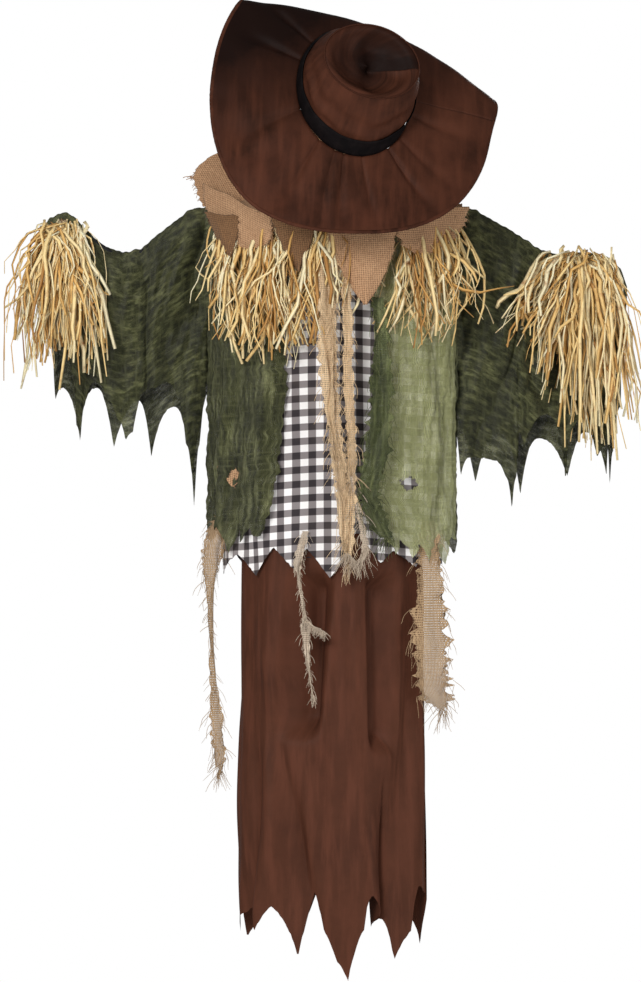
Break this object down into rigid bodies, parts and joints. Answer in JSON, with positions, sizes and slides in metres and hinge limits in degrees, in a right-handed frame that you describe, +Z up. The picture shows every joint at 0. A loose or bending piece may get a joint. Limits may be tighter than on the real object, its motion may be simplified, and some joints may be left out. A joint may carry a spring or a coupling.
{
  "type": "hanging scarecrow figure",
  "caption": "Hanging ragged scarecrow with a bowed head that rises, floppy hat, straw hands, gauze jacket, checked shirt and long gown.",
  "frame": {"origin": "centre of the hanger hole, behind the neck", "axes": "+Z up, +Y out of the back along the hanger hole, +X to the right as seen from the front"},
  "size_m": [0.994, 0.3777, 1.5541],
  "materials": {
    "steel_frame": "satin black paint",
    "steel_plate": "zinc plated",
    "case_plastic": "fine moulded texture",
    "gear_plastic": "natural acetal",
    "bush_brass": "turned",
    "motor_can": "plated",
    "battery_wrap": "gloss wrap",
    "board_green": "solder mask",
    "speaker_black": "satin",
    "button_red": "gloss",
    "shell_plastic": "vacuum formed",
    "eye_amber": "translucent amber",
    "burlap": "coarse jute weave",
    "straw": "dry raffia straw",
    "hat_fabric": "brown satin twill",
    "hat_band": "black grosgrain",
    "gingham": "black and white check",
    "green_gauze": "open cheesecloth",
    "gown_satin": "brown satin",
    "raffia_strip": "frayed open weave"
  },
  "bodies": {
    "root": {"spine_tube": "steel_frame", "spine_end_cap": "case_plastic", "waist_hoop": "steel_frame", "hoop_hub": "case_plastic", "shoulder_crossbar": "steel_frame", "hanger_plate": "steel_plate", "crossbar_saddle": "case_plastic", "hanger_bolts": "steel_plate", "left_shoulder_bracket": "case_plastic", "right_shoulder_bracket": "case_plastic", "left_pivot_bolt": "steel_plate", "right_pivot_bolt": "steel_plate", "case_front": "case_plastic", "case_back": "case_plastic", "case_screws": "steel_plate", "battery_cells": "battery_wrap", "battery_contacts": "steel_plate", "speaker": "speaker_black", "circuit_board": "board_green", "sound_sensor": "speaker_black", "neck_bracket": "steel_plate", "bracket_screws": "steel_plate", "neck_bushings": "bush_brass", "gear_motor": "motor_can", "gown": "gown_satin", "gingham_shirt": "gingham", "jacket_left_front": "green_gauze", "jacket_right_front": "green_gauze", "jacket_back": "green_gauze", "burlap_collar": "burlap", "neck_hood": "burlap", "straw_collar_left": "straw", "straw_collar_right": "straw", "centre_tails": "raffia_strip", "left_hip_strip": "raffia_strip", "right_hip_strip": "raffia_strip", "frayed_strand": "raffia_strip"},
    "head": {"neck_shaft": "steel_plate", "neck_yoke": "case_plastic", "sector_gear": "gear_plastic", "head_shell_front": "shell_plastic", "head_shell_back": "shell_plastic", "head_screws": "steel_plate", "eye_lights": "eye_amber", "sack_face": "burlap", "hat_crown": "hat_fabric", "hat_band": "hat_band", "hat_brim": "hat_fabric", "brim_wire": "steel_plate"},
    "left_arm": {"left_arm_rod": "steel_frame", "left_sleeve": "green_gauze", "left_straw_hand": "straw"},
    "right_arm": {"right_arm_rod": "steel_frame", "right_sleeve": "green_gauze", "right_straw_hand": "straw"},
    "battery_door": {"battery_door": "case_plastic"},
    "power_switch": {"power_switch": "speaker_black"},
    "try_me_button": {"try_me_button": "button_red"},
    "pinion": {"motor_pinion": "gear_plastic"}
  },
  "joints": [
    {"name": "head_tilt", "type": "hinge", "parent": "root", "child": "head", "pos_m": [0, -0.045, 0.05], "axis": [-1, 0, 0], "range_deg": [0, 60]},
    {"name": "pinion_spin", "type": "hinge", "parent": "root", "child": "pinion", "pos_m": [0.033, -0.045, 0.005], "axis": [-1, 0, 0], "range_deg": [-185, 5]},
    {"name": "left_arm_swing", "type": "hinge", "parent": "root", "child": "left_arm", "pos_m": [-0.212, -0.012, -0.075], "axis": [0, 0, 1], "range_deg": [-10, 60]},
    {"name": "right_arm_swing", "type": "hinge", "parent": "root", "child": "right_arm", "pos_m": [0.212, -0.012, -0.075], "axis": [0, 0, -1], "range_deg": [-10, 60]},
    {"name": "battery_door_slide", "type": "slide", "parent": "root", "child": "battery_door", "axis": [0, 0, -1], "range_m": [0, 0.04]},
    {"name": "power_switch_slide", "type": "slide", "parent": "root", "child": "power_switch", "axis": [0, 0, 1], "range_m": [0, 0.004]},
    {"name": "try_me_press", "type": "slide", "parent": "root", "child": "try_me_button", "axis": [-1, 0, 0], "range_m": [0, 0.002], "stiffness_N_per_m": 300}
  ],
  "couplings": [
    {"joint": "pinion_spin", "follows": "head_tilt", "ratio": -3}
  ]
}
